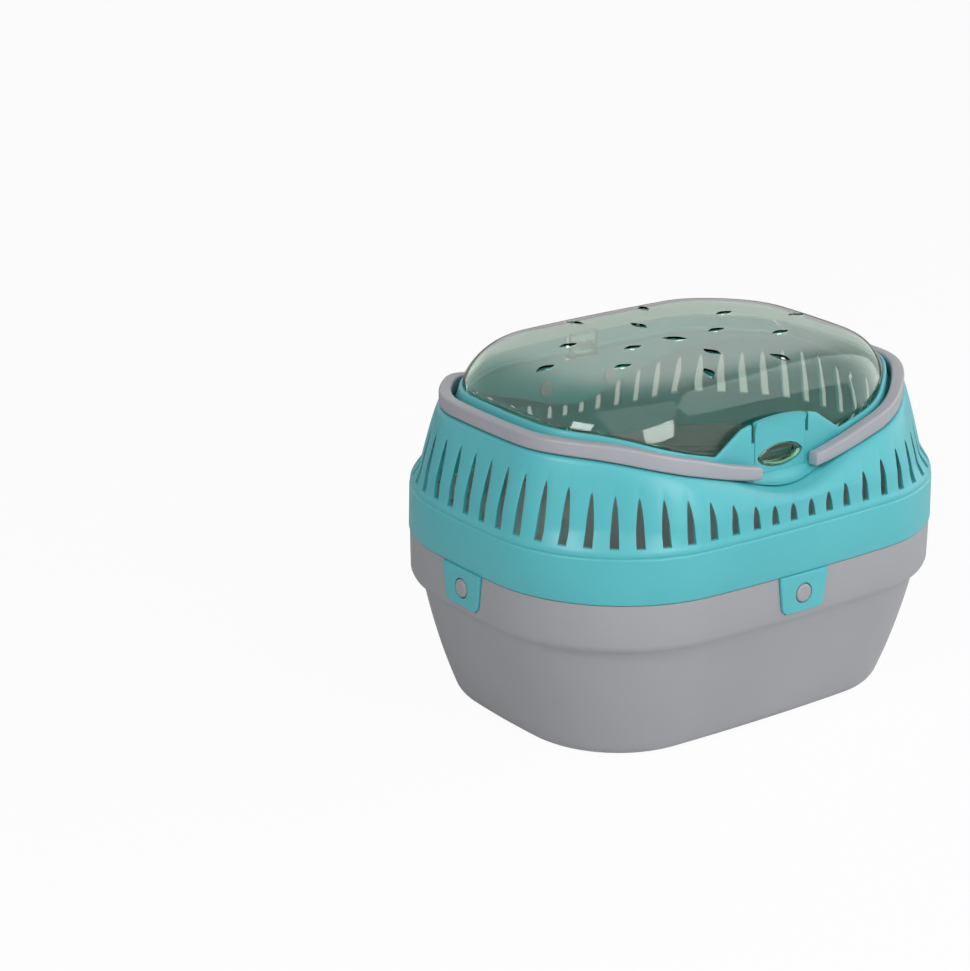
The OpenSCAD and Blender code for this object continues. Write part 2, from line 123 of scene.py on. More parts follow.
# Heights
SEAM, SEAT = 101.5, 153.5
COLLAR_D, COLLAR_T, COLLAR_H = 22.7, 2.2, 11.0
COLLAR_Z = SEAT + COLLAR_H
ARCH_Z = COLLAR_Z + 22.5
DIP, DIP_X = 5.5, 48.0
WALL = 2.4
SLOT_LOW = 132.9
LATCH_X = 18.25
LATCH_Z = 155.7
COLLAR_Y = HALF_W - COLLAR_D
OVAL_W, OVAL_H = 33.0, 13.6
OVAL_Z = LATCH_Z + OVAL_H / 2 + 2
SADDLE = 25.0
PIVOT_X, PIVOT_Z = 24.2, 159.68


def saddle(x):
    return SADDLE * math.sin(math.pi / 2 * min(1.0, abs(x) / 135.0)) ** 2


def x_of(a):
    return spot(a, -COLLAR_D)[0]


def rise(a):
    return saddle(x_of(a))


def dip(x):
    return math.cos(math.pi / 2 * x / DIP_X) ** 2 if abs(x) < DIP_X else 0.0


def arch(x):
    x = abs(x)
    return min(ARCH_Z - x * x / 190, ARCH_Z + 15 - 0.69 * x)


def seat_edge(a):
    return SEAT + rise(a) - DIP * dip(x_of(a))


def seat_foot(a):
    return SEAT + rise(a) - (DIP - 1.5) * dip(x_of(a))


def lift(a):
    return rise(a) if math.sin(a) < 0 else SADDLE


def rim(a):
    z = COLLAR_Z + lift(a)
    return max(z, arch(x_of(a))) if math.sin(a) < 0 else z


def lean_in(a):
    return 0.5 + 1.7 * min(1.0, 2 * abs(math.cos(a))) + 3.0 * max(0.0, math.sin(a))


def collar_d(a, z):
    foot = seat_foot(a)
    return -COLLAR_D - lean_in(a) * (z - foot) / (COLLAR_Z + lift(a) - foot)


def shelf_z(a):
    return COLLAR_Z + lift(a) - 7.0


def lid_d(a):
    return -COLLAR_D - lean_in(a) - COLLAR_T - 1.2


def pin_face(side):
    a = side * math.acos(PIVOT_X / SIDE_R)
    return abs(spot(a, collar_d(a, PIVOT_Z) - COLLAR_T)[1])


HINGE_Z = COLLAR_Z + SADDLE - 12.0
HINGE_WALL = HALF_W + collar_d(math.pi / 2, HINGE_Z)
HINGE_Y = HINGE_WALL + 5.0


def slot_top(a):
    return SEAT + rise(a) - 11.0 - 0.9 * pull(a)


LOW_PROFILE = [
    (101.5, -0.7), (101.8, -0.2), (102.3, 0.0), (114.0, -0.25), (126.6, -0.5),
    (127.2, -0.62), (127.55, -0.95), (127.85, -1.3), (128.15, -1.36), (128.5, -1.15),
    (128.9, -0.92), (129.6, -0.95), (130.6, -1.12), (131.6, -1.5), (132.9, -2.0),
]
MID_PROFILE = [(132.9, -2.0), (135.0, -2.38), (138.5, -2.85), (143.0, -3.3)]


def wall_d(a, z):
    """How far the leaning wall lies from the outline at height z."""
    if z <= 143.0:
        p = MID_PROFILE
        for (z0, d0), (z1, d1) in zip(p, p[1:]):
            if z <= z1:
                return mix(d0, d1, (z - z0) / (z1 - z0)) - pull(a) * smooth((z - 131.0) / 12.0)
    top = seat_edge(a)
    z1 = top - 0.25 * (top - 143.0)
    p0, p1, p2 = (-3.3, 143.0), (-3.3 - 0.25 * (z1 - 143.0), z1), (-13.3, top)
    qa = p0[1] - 2 * p1[1] + p2[1]
    qb = 2 * (p1[1] - p0[1])
    qc = p0[1] - min(z, top)
    t = -qc / qb if abs(qa) < 1e-6 else (-qb + math.sqrt(max(0.0, qb * qb - 4 * qa * qc))) / (2 * qa)
    t = min(1.0, max(0.0, t))
    return p0[0] * (1 - t) ** 2 + 2 * p1[0] * t * (1 - t) + p2[0] * t * t - pull(a)


# Mesh tools
def add_mesh(name, verts, faces, material, body, nodes=(), angle=35.0):
    mesh = bpy.data.meshes.new(name)
    mesh.from_pydata([(x * MM, y * MM, z * MM) for x, y, z in verts], [], faces)
    mesh.update()
    obj = bpy.data.objects.new(name, mesh)
    bpy.context.scene.collection.objects.link(obj)
    finish_piece(obj, material, body, nodes, angle)
    return obj


def finish_piece(obj, material, body, nodes=(), angle=35.0):
    mesh = obj.data
    bm = bmesh.new()
    bm.from_mesh(mesh)
    bmesh.ops.remove_doubles(bm, verts=bm.verts, dist=1e-6)
    bmesh.ops.recalc_face_normals(bm, faces=bm.faces)
    limit = math.radians(angle)
    for face in bm.faces:
        face.smooth = True
    for edge in bm.edges:
        edge.smooth = len(edge.link_faces) == 2 and edge.calc_face_angle(0.0) < limit
    bm.to_mesh(mesh)
    bm.free()
    mesh.materials.clear()
    mesh.materials.append(material)
    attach(obj, body)
    if nodes:
        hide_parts(*nodes)


def hoop_faces(n, m, closed=True):
    faces = []
    for k in range(m if closed else m - 1):
        j = (k + 1) % m
        for i in range(n):
            h = (i + 1) % n
            faces.append((k * n + i, k * n + h, j * n + h, j * n + i))
    return faces


def cut(obj, cutters):
    """Takes the cutters out of obj and drops them."""
    for c in cutters:
        mod = obj.modifiers.new("cut", "BOOLEAN")
        mod.operation, mod.solver, mod.object = "DIFFERENCE", "EXACT", c
    graph = bpy.context.evaluated_depsgraph_get()
    mesh = bpy.data.meshes.new_from_object(obj.evaluated_get(graph))
    old = obj.data
    obj.modifiers.clear()
    obj.data = mesh
    bpy.data.meshes.remove(old)
    for c in cutters:
        bpy.data.objects.remove(c, do_unlink=True)


def block(lo, hi):
    bm = bmesh.new()
    bmesh.ops.create_cube(bm, size=1.0)
    for v in bm.verts:
        v.co = Vector([(lo[i] + hi[i]) / 2 + v.co[i] * (hi[i] - lo[i]) for i in range(3)]) * MM
    mesh = bpy.data.meshes.new("cutter")
    bm.to_mesh(mesh)
    bm.free()
    obj = bpy.data.objects.new("cutter", mesh)
    bpy.context.scene.collection.objects.link(obj)
    return obj


def lens_points(w, h, n, power=0.8):
    pts = []
    for i in range(2 * n):
        t = i / n if i < n else 2 - i / n
        s = 1 if i < n else -1
        pts.append(((t - 0.5) * w, s * h / 2 * math.sin(math.pi * t) ** power))
    return pts


def prism(points, low, high):
    n = len(points)
    turn = sum(p[0] * q[1] - q[0] * p[1] for p, q in zip(points, points[1:] + points[:1]))
    if turn < 0:
        points = points[::-1]
    verts = [p + (low,) for p in points] + [p + (high,) for p in points]
    faces = [tuple(range(n))[::-1], tuple(range(n, 2 * n))]
    faces += [(i, (i + 1) % n, n + (i + 1) % n, n + i) for i in range(n)]
    mesh = bpy.data.meshes.new("cutter")
    mesh.from_pydata([(x * MM, y * MM, z * MM) for x, y, z in verts], [], faces)
    mesh.update()
    obj = bpy.data.objects.new("cutter", mesh)
    bpy.context.scene.collection.objects.link(obj)
    return obj


# Materials
def srgb(r, g, b):
    out = []
    for c in (r, g, b):
        c = c / 255
        out.append(c / 12.92 if c <= 0.04045 else ((c + 0.055) / 1.055) ** 2.4)
    return tuple(out) + (1.0,)


def moulded(name, dark, light, rough, coat, grain):
    """Injection-moulded plastic: faint flow mottling, fine spark-eroded grain, soft gloss."""
    mat = bpy.data.materials.new(name)
    mat.use_nodes = True
    tree = mat.node_tree
    n, link = tree.nodes, tree.links.new
    bsdf = n["Principled BSDF"]
    coord = n.new("ShaderNodeTexCoord")
    flow = n.new("ShaderNodeTexNoise")
    flow.inputs["Scale"].default_value = 9.0
    flow.inputs["Detail"].default_value = 5.0
    flow.inputs["Roughness"].default_value = 0.55
    link(coord.outputs["Object"], flow.inputs["Vector"])
    ramp = n.new("ShaderNodeValToRGB")
    ramp.color_ramp.elements[0].position, ramp.color_ramp.elements[1].position = 0.3, 0.7
    ramp.color_ramp.elements[0].color, ramp.color_ramp.elements[1].color = dark, light
    link(flow.outputs["Fac"], ramp.inputs["Fac"])
    link(ramp.outputs["Color"], bsdf.inputs["Base Color"])
    fine = n.new("ShaderNodeTexNoise")
    fine.inputs["Scale"].default_value = 900.0
    fine.inputs["Detail"].default_value = 2.0
    link(coord.outputs["Object"], fine.inputs["Vector"])
    span = n.new("ShaderNodeMapRange")
    span.inputs["To Min"].default_value = rough - 0.05
    span.inputs["To Max"].default_value = rough + 0.06
    link(flow.outputs["Fac"], span.inputs["Value"])
    link(span.outputs["Result"], bsdf.inputs["Roughness"])
    bump = n.new("ShaderNodeBump")
    bump.inputs["Strength"].default_value = grain
    bump.inputs["Distance"].default_value = 0.00008
    link(fine.outputs["Fac"], bump.inputs["Height"])
    link(bump.outputs["Normal"], bsdf.inputs["Normal"])
    bsdf.inputs["Coat Weight"].default_value = coat
    bsdf.inputs["Coat Roughness"].default_value = 0.25
    return mat


def clear_plastic(name):
    """Clear, faintly green lid: real refraction with slight haze that varies over the sheet."""
    mat = bpy.data.materials.new(name)
    mat.use_nodes = True
    tree = mat.node_tree
    n, link = tree.nodes, tree.links.new
    bsdf = n["Principled BSDF"]
    coord = n.new("ShaderNodeTexCoord")
    haze = n.new("ShaderNodeTexNoise")
    haze.inputs["Scale"].default_value = 14.0
    haze.inputs["Detail"].default_value = 3.0
    link(coord.outputs["Object"], haze.inputs["Vector"])
    span = n.new("ShaderNodeMapRange")
    span.inputs["To Min"].default_value = 0.0
    span.inputs["To Max"].default_value = 0.05
    link(haze.outputs["Fac"], span.inputs["Value"])
    link(span.outputs["Result"], bsdf.inputs["Roughness"])
    ramp = n.new("ShaderNodeValToRGB")
    ramp.color_ramp.elements[0].color = (0.56, 0.74, 0.62, 1)
    ramp.color_ramp.elements[1].color = (0.62, 0.80, 0.68, 1)
    link(haze.outputs["Fac"], ramp.inputs["Fac"])
    link(ramp.outputs["Color"], bsdf.inputs["Base Color"])
    bsdf.inputs["Transmission Weight"].default_value = 1.0
    bsdf.inputs["IOR"].default_value = 1.46
    return mat


TURQUOISE = moulded("turquoise_plastic", srgb(80, 182, 190), srgb(88, 191, 199), 0.42, 0.15, 0.35)
GREY = moulded("grey_plastic", srgb(157, 158, 162), srgb(164, 165, 169), 0.48, 0.1, 0.4)
HANDLE_GREY = moulded("handle_plastic", srgb(166, 167, 174), srgb(173, 174, 181), 0.42, 0.15, 0.3)
CLEAR = clear_plastic("lid_plastic")

# Top shell
SHORT_PITCH = 13.2
FIRST_TALL = 2.5 * SHORT_PITCH + 14.8
TALL = 11
TALL_PITCH = (QUARTER - FIRST_TALL) / (TALL + 1)
PLACES = [(i + 0.5) * SHORT_PITCH for i in range(3)] + [FIRST_TALL + i * TALL_PITCH for i in range(TALL + 1)]
CENTRES = sorted(
    PLACES + [QUARTER, 3 * QUARTER] + [2 * QUARTER - s for s in PLACES]
    + [2 * QUARTER + s for s in PLACES] + [4 * QUARTER - s for s in PLACES]
)
OUTER_STEPS = [1.0, 0.6, 0.3, 0.1, 0.0]
INNER_STEPS = [0.6, 0.2, -0.2, -0.6]


def slot_half(v):
    """Half width of a slot's outer edge at height v: nearly parallel, then closing to a tip."""
    v = min(1.0, max(0.0, v))
    return (0.5 + 2.1 * (1 - v ** 2.4)) * math.sqrt(max(0.02, 1 - max(0.0, (v - 0.88) / 0.12) ** 2))


def slot_inner(v):
    """Half width at the inner face, where the slot keeps its width up to a round end."""
    v = min(1.0, max(0.0, v))
    return 2.75 * math.sqrt(max(0.03, 1 - max(0.0, (v - 0.9) / 0.1) ** 2))


def cell_columns():
    """For each column: its slot's centre, and how it is placed from the slot's half width."""
    cols = []
    count = len(CENTRES)
    for i, c in enumerate(CENTRES):
        left = (c - CENTRES[i - 1]) % (4 * QUARTER) / 2
        right = (CENTRES[(i + 1) % count] - c) % (4 * QUARTER) / 2
        cols += [(c, -1, left, f) for f in OUTER_STEPS]
        cols += [(c, 0, 0, -g) for g in INNER_STEPS]
        cols += [(c, 1, right, f) for f in reversed(OUTER_STEPS[1:])]
    return cols


COLS = cell_columns()
PER_CELL = len(COLS) // len(CENTRES)


def column_offset(col, w):
    c, side, half, f = col
    return f * w if side == 0 else side * (w + (half - w) * f)


def flute(offset, v):
    """Depth of the shallow scallop that each slot lies in, v from slot foot to seat edge."""
    if v <= 0 or v >= 1:
        return 0.0
    width = 3.6 * (1 - 0.55 * v)
    if v >= 0.87:
        return 0.0
    return 0.55 * math.sin(math.pi * min(1.0, v * 1.15)) ** 0.8 * math.exp(-(offset / width) ** 2)


SLOT_ROWS = 12
UP_ROWS = 8


def shell_wall():
    rows = []
    n = len(COLS)

    def row(level, at, width=slot_half):
        w = width(level)
        out = []
        for col in COLS:
            off = column_offset(col, w)
            a = angle_at(col[0] + off)
            d, z = at(a, off)
            x, y = spot(a, d)
            out.append((x, y, z))
        rows.append(out)

    for z, d in LOW_PROFILE[:-1]:
        row(0, lambda a, o, z=z, d=d: (d - pull(a) * smooth((z - 131.0) / 12.0), z))
    slot_first = len(rows)

    def slot_z(a, k):
        return mix(SLOT_LOW, slot_top(a), k / SLOT_ROWS)

    def up_z(a, k):
        return mix(slot_top(a), seat_edge(a) - 0.7, k / UP_ROWS)

    def share(a, z):
        return (z - SLOT_LOW) / (seat_edge(a) - SLOT_LOW)

    for k in range(SLOT_ROWS + 1):
        def fluted(a, o, k=k):
            z = slot_z(a, k)
            return wall_d(a, z) - flute(o, share(a, z)), z
        row(k / SLOT_ROWS, fluted)
    slot_last = len(rows) - 1
    for k in range(1, UP_ROWS + 1):
        row(1, lambda a, o, k=k: (wall_d(a, up_z(a, k)) - flute(o, share(a, up_z(a, k))), up_z(a, k)))
    for dd, dz in ((0.35, -0.25), (0.9, 0.0)):
        row(1, lambda a, o, dd=dd, dz=dz: (-13.3 - dd - pull(a), seat_edge(a) + dz))
    for t in (0.3, 0.65, 1.0):
        row(1, lambda a, o, t=t: (mix(-14.2, -23.6, t) - pull(a), mix(seat_edge(a), seat_foot(a), t)))
    row(1, lambda a, o: (-23.6 - pull(a), seat_foot(a) - 2.4))
    row(1, lambda a, o: (-17.2 - pull(a), seat_edge(a) - 3.0))
    for k in range(UP_ROWS - 2, 0, -2):
        row(1, lambda a, o, k=k: (wall_d(a, up_z(a, k)) - WALL, up_z(a, k)))
    inner_first = len(rows)
    for k in range(SLOT_ROWS, -1, -1):
        row(k / SLOT_ROWS, lambda a, o, k=k: (wall_d(a, slot_z(a, k)) - WALL, slot_z(a, k)), slot_inner)
    inner_last = len(rows) - 1
    for d, z in ((-4.0, 130.0), (-2.95, 127.0), (-2.45, 103.0), (-2.3, 101.9), (-1.6, 101.5)):
        row(0, lambda a, o, d=d, z=z: (d, z))
    m = len(rows)
    verts = [p for r in rows for p in r]
    first, last = len(OUTER_STEPS) - 1, len(OUTER_STEPS) + len(INNER_STEPS)

    def in_slot(i):
        return first <= i % PER_CELL < last

    faces = []
    for k in range(m):
        j = (k + 1) % m
        for i in range(n):
            h = (i + 1) % n
            zone = slot_first <= k < slot_last or inner_first <= k < inner_last
            if zone and in_slot(i):
                continue
            faces.append((k * n + i, k * n + h, j * n + h, j * n + i))
    for i in range(n):
        for k in range(slot_first, slot_last):
            inner = inner_last - (k - slot_first)
            if i % PER_CELL == first or i % PER_CELL == last:
                faces.append((k * n + i, (k + 1) * n + i, (inner - 1) * n + i, inner * n + i))
        if in_slot(i):
            h = (i + 1) % n
            faces.append((slot_first * n + i, slot_first * n + h, inner_last * n + h, inner_last * n + i))
            faces.append((slot_last * n + i, slot_last * n + h, inner_first * n + h, inner_first * n + i))
    return add_mesh("shell_wall", verts, faces, TURQUOISE, "shell", ("upper_shell",), 38.0)


def collar_angles():
    s_list = []
    keys = [0.0, LATCH_X, 27.0, 28.0, 44.0, 45.0, 48.0]
    s = 0.0
    while s < QUARTER:
        s_list.append(s)
        s += 1.5 if s < 60 else 2.4
    s_list = sorted(set(round(v, 4) for v in s_list + keys))
    s_all = s_list + [2 * QUARTER - v for v in s_list]
    s_all += [2 * QUARTER + v for v in s_list] + [4 * QUARTER - v for v in s_list]
    s_all = sorted(set(round(v % (4 * QUARTER), 3) for v in s_all))
    return [angle_at(v) for v in s_all]


def shell_collar():
    angles = collar_angles()
    rows = []

    def row(at):
        out = []
        for a in angles:
            d, z = at(a)
            x, y = spot(a, d - pull(a))
            out.append((x, y, z))
        rows.append(out)

    def fillet(a, t):
        front = math.sin(a) < 0
        r = mix(1.2, 7.5, dip(x_of(a))) if front else 1.2
        phi = t * math.pi / 2
        return collar_d(a, seat_foot(a)) + r * (1 - math.sin(phi)), seat_foot(a) + r * (1 - math.cos(phi))

    def under(a):
        return max(seat_foot(a) + 0.5, shelf_z(a) - 5.2)

    for t in (0, 0.25, 0.5, 0.75, 1.0):
        row(lambda a, t=t: fillet(a, t))
    for t in (0.35, 0.7, 1.0):
        def up(a, t=t):
            z0 = fillet(a, 1.0)[1]
            z = mix(z0, rim(a) - 0.9, t)
            return collar_d(a, z), z
        row(up)
    for dd, dz in ((-0.25, -0.3), (-0.9, 0.0), (-1.4, 0.0), (-1.95, -0.3), (-2.2, -0.9)):
        row(lambda a, dd=dd, dz=dz: (collar_d(a, rim(a)) + dd, rim(a) + dz))
    row(lambda a: (collar_d(a, shelf_z(a)) - COLLAR_T, shelf_z(a)))
    row(lambda a: (collar_d(a, shelf_z(a)) - COLLAR_T - 2.6, shelf_z(a)))
    row(lambda a: (collar_d(a, shelf_z(a)) - COLLAR_T - 3.0, shelf_z(a) - 0.4))
    row(lambda a: (collar_d(a, shelf_z(a)) - COLLAR_T - 3.0, shelf_z(a) - 1.8))
    row(lambda a: (collar_d(a, shelf_z(a)) - COLLAR_T - 2.6, shelf_z(a) - 2.2))
    row(lambda a: (collar_d(a, under(a)) - COLLAR_T, under(a)))
    row(lambda a: (-COLLAR_D - COLLAR_T, seat_foot(a) - 1.2))
    row(lambda a: (-COLLAR_D + 0.6, seat_foot(a) - 1.2))
    n = len(angles)
    verts = [p for r in rows for p in r]
    obj = add_mesh("shell_collar", verts, hoop_faces(n, len(rows)), TURQUOISE, "shell")
    side = LATCH_X + 0.3
    cutters = [block((-side, -COLLAR_Y - 12, LATCH_Z), (side, -COLLAR_Y + 9, ARCH_Z + 20))]
    for k in (-1, 1):
        slit = k * (side + 1.1)
        cutters.append(block((slit - 1.15, -COLLAR_Y - 6, ARCH_Z - 13),
                             (slit + 1.15, -COLLAR_Y + 7, ARCH_Z + 20)))
    cutters.append(block((-10.8, HINGE_WALL - 8, HINGE_Z - 3.7), (10.8, HINGE_WALL + 8, HINGE_Z + 30)))
    for kx in (-1, 1):
        for ky in (-1, 1):
            for radius, depth, mid in ((2.48, 12, 1), (4.6, 6, -3)):
                bpy.ops.mesh.primitive_cylinder_add(
                    vertices=48, radius=radius * MM, depth=depth * MM, rotation=(math.pi / 2, 0, 0),
                    location=(kx * PIVOT_X * MM, ky * (pin_face(ky) + mid) * MM, PIVOT_Z * MM))
                cutters.append(bpy.context.object)
    cut(obj, cutters)
    finish_piece(obj, TURQUOISE, "shell", ("upper_shell",), 38.0)
    return obj


def rounded_disc_stack(profile, axis_point, direction, segments=64):
    """Lathe of (radius, height) points about a line; returns vertices and faces."""
    axis = Vector(direction).normalized()
    ref = Vector((0, 0, 1)) if abs(axis.z) < 0.9 else Vector((1, 0, 0))
    u = axis.cross(ref).normalized()
    v = axis.cross(u)
    verts, faces = [], []
    for r, h in profile:
        for i in range(segments):
            t = 2 * math.pi * i / segments
            verts.append(tuple(Vector(axis_point) + axis * h + (u * math.cos(t) + v * math.sin(t)) * r))
    m = len(profile)
    faces = [tuple(range(segments))[::-1], tuple(range((m - 1) * segments, m * segments))]
    faces += hoop_faces(segments, m, closed=False)
    return verts, faces


def merge(parts):
    verts, faces = [], []
    for v, f in parts:
        base = len(verts)
        verts += v
        faces += [tuple(i + base for i in face) for face in f]
    return verts, faces


def soft_box(lo, hi, r):
    """Box with rounded edges, as vertices and faces."""
    bm = bmesh.new()
    bmesh.ops.create_cube(bm, size=1.0)
    for v in bm.verts:
        v.co = Vector([(lo[i] + hi[i]) / 2 + v.co[i] * (hi[i] - lo[i]) for i in range(3)])
    bmesh.ops.bevel(bm, geom=list(bm.edges), offset=r, segments=3, profile=0.5, affect="EDGES")
    bm.verts.index_update()
    verts = [tuple(v.co) for v in bm.verts]
    faces = [tuple(v.index for v in f.verts) for f in bm.faces]
    bm.free()
    return verts, faces


def hinge_ears():
    """Two ears with a round end and a bore for the lid's stub pins."""
    count, bore, end = 64, 2.3, 4.0
    deep = HINGE_Y - HINGE_WALL + 1.1

    def outline(t, inset):
        c, s = math.cos(t), math.sin(t)
        if c >= 0:
            return (end - inset) * c, (end - inset) * s
        r = min((end - inset) / max(1e-9, abs(s)), deep / max(1e-9, -c))
        return r * c, r * s

    parts = []
    for k in (-1, 1):
        x0, x1 = sorted((k * 10.8, k * 14.2))
        turns = [2 * math.pi * i / count for i in range(count)]
        hole = [(bore * math.cos(t), bore * math.sin(t)) for t in turns]
        verts = []
        for x, ring in ((x0, hole), (x0, 0.4), (x0 + 0.4, 0.0), (x1 - 0.4, 0.0), (x1, 0.4), (x1, hole)):
            pts = ring if isinstance(ring, list) else [outline(t, ring) for t in turns]
            verts += [(x, HINGE_Y + y, HINGE_Z + z) for y, z in pts]
        parts.append((verts, hoop_faces(count, 6)))
    v, f = merge(parts)
    return add_mesh("hinge_ears", v, f, TURQUOISE, "shell")


# Latch tongue
def latch_tongue():
    count, radial = 144, 7
    inner = []
    for i in range(count):
        t = 2 * math.pi * i / count
        c, s = math.cos(t), math.sin(t)
        inner.append((OVAL_W / 2 * c, OVAL_H / 2 * math.copysign(abs(s) ** 1.25, s)))
    outer = []
    for i in range(count):
        t = 2 * math.pi * i / count
        c, s = math.cos(t), math.sin(t)
        lo, hi = 0.0, 60.0
        for _ in range(40):
            r = (lo + hi) / 2
            x, z = r * c, OVAL_Z + r * s
            inside = abs(x) <= LATCH_X and z >= LATCH_Z + 0.05 and z <= arch(x)
            lo, hi = (r, hi) if inside else (lo, r)
        outer.append((lo * c, lo * s))

    def face_y(x, z, back):
        sag = x * x / (2 * SIDE_R)
        lean = (z - LATCH_Z) / 30.0
        lip = 0.0 if back else 1.0 * smooth((z - (arch(x) - 3.4)) / 1.2)
        return -COLLAR_Y + sag + lean - lip + (COLLAR_T if back else 0.0)

    rows = []
    for k in range(radial + 1):
        t = (k / radial) ** 1.3
        rows.append([(mix(i[0], o[0], t), OVAL_Z + mix(i[1], o[1], t)) for i, o in zip(inner, outer)])
    verts = []
    for r in rows:
        verts += [(x, face_y(x, z, False), z) for x, z in r]
    for r in reversed(rows):
        verts += [(x, face_y(x, z, True), z) for x, z in r]
    m = 2 * (radial + 1)
    return add_mesh("latch_tongue_skin", verts, hoop_faces(count, m), TURQUOISE,
                    "latch", ("latch_tongue",))


# Lid
DOME_Z = COLLAR_Z + 44.5
SKIRT_T, DOME_T = 2.0, 1.3
VENT_L, VENT_W = 15.0, 7.0


def lid_base(a):
    return COLLAR_Z + lift(a) + 1.0


def skirt_up(a):
    return min(1.0, max(0.0, (math.sin(a) - 0.12) / 0.2))


VENTS = [(0, 0, -40, 1.0)]
for k in (-1, 1):
    VENTS += [(k * 31, 0, 0, 0.85), (0, k * 33, -85, 0.95), (k * 93, 0, 0, 0.85)]
    for j in (-1, 1):
        VENTS += [(k * 58, j * 25, 0, 0.85), (k * 26, j * 61, 70 * k * j, 0.9)]


def clear_lid():
    angles = [angle_at(i * 4 * QUARTER / 288) for i in range(288)]
    steps = [math.sin(math.pi / 2 * (1 - i / 40)) for i in range(40)] + [0.01]

    def dome(s, inset, drop):
        out = []
        for a in angles:
            swell = 1.8 * max(0.0, math.sin(a)) - abs(math.cos(a)) - 0.4 - 0.38 * pull(a)
            x, y = spot(a, lid_d(a) + swell - inset)
            z = lid_base(a)
            top = DOME_Z - 0.05 - 0.3 * s * s - drop
            out.append((x * s, y * s, z + (top - z) * (1 - s ** 11.65) ** 0.96))
        return out

    def skirt(inset, up):
        out = []
        for a in angles:
            t = skirt_up(a)
            x, y = spot(a, lid_d(a) - 1.2 * (1 - t) - inset - pull(a))
            out.append((x, y, shelf_z(a) + 0.3 + 7.6 * t + up * (1 - 0.8 * t)))
        return out

    rows = [dome(s, SKIRT_T, DOME_T) for s in reversed(steps)]
    rows += [skirt(SKIRT_T, 0.4), skirt(1.6, 0.0), skirt(0.4, 0.0), skirt(0.0, 0.4)]
    foot = [max(lid_base(a) - 0.45, shelf_z(a) + 7.6 * skirt_up(a) + 0.75) for a in angles]
    rows.append([spot(a, lid_d(a) - pull(a) - 0.2) + (z,) for a, z in zip(angles, foot)])
    rows += [dome(s, 0.0, 0.0) for s in steps]
    n = len(angles)
    faces = hoop_faces(n, len(rows), closed=False)
    faces += [tuple(range(n)), tuple(range((len(rows) - 1) * n, len(rows) * n))[::-1]]
    obj = add_mesh("lid_dome", [p for r in rows for p in r], faces, CLEAR, "lid")
    cutters = []
    for x, y, turn, size in VENTS:
        l, w = VENT_L * size, VENT_W * size
        pts = lens_points(l, w, 14, 1.0)
        c, s = math.cos(math.radians(turn)), math.sin(math.radians(turn))
        cutters.append(prism([(x + p * c - q * s, y + p * s + q * c) for p, q in pts], DOME_Z - 14, DOME_Z + 6))
    cut(obj, cutters)
    finish_piece(obj, CLEAR, "lid", ("clear_lid",), 30.0)
    return obj


def lid_lug():
    """Oval boss on the lid's front: a raised rim round a recess, seen in the tongue's window."""
    count = 96
    front = -COLLAR_Y + COLLAR_T - 1.4
    back = -HALF_W - lid_d(-math.pi / 2) + 1.6
    profile = [(1.0, back), (1.0, front + 0.9), (0.97, front + 0.2), (0.93, front),
               (0.87, front + 0.1), (0.82, front + 0.7), (0.8, back - 1.0), (0.78, back)]
    rows = []
    for k, y in profile:
        ring = []
        for i in range(count):
            t = 2 * math.pi * i / count
            c, s = math.cos(t), math.sin(t)
            w, h = (OVAL_W - 1) / 2, (OVAL_H - 1) / 2
            inset = (1 - k) * w
            ring.append(((w - inset) * c, y, OVAL_Z + (h - inset * 0.55) * math.copysign(abs(s) ** 1.25, s)))
        rows.append(ring)
    verts = [p for r in rows for p in r]
    return add_mesh("lid_lug", verts, hoop_faces(count, len(rows)), CLEAR,
                    "lid", ("clear_lid",))


def lid_hinge():
    tab = HALF_W + lid_d(math.pi / 2) - 2.0
    parts = [
        soft_box((-10.5, tab, HINGE_Z - 1.2), (10.5, HINGE_Y, HINGE_Z + 1.2), 0.4),
        soft_box((-10.5, tab, HINGE_Z - 1.2), (10.5, tab + 2.0, lid_base(math.pi / 2) + 2.0), 0.4),
        rounded_disc_stack([(0.1, 0), (3.0, 0), (3.4, 0.4), (3.4, 20.6), (3.0, 21.0), (0.1, 21.0)],
                           (-10.5, HINGE_Y, HINGE_Z), (1, 0, 0)),
        rounded_disc_stack([(0.1, 0), (1.7, 0), (2.0, 0.3), (2.0, 27.5), (1.7, 27.8), (0.1, 27.8)],
                           (-13.9, HINGE_Y, HINGE_Z), (1, 0, 0)),
    ]
    v, f = merge(parts)
    return add_mesh("lid_hinge_leaf", v, f, CLEAR, "lid", ("clear_lid",))


# Handles
BAR_H, BAR_T, BAR_IN = 7.5, 6.4, -COLLAR_D + 1.2
BAR_Z = SEAT + 0.5
HANDLE_X = 20.0


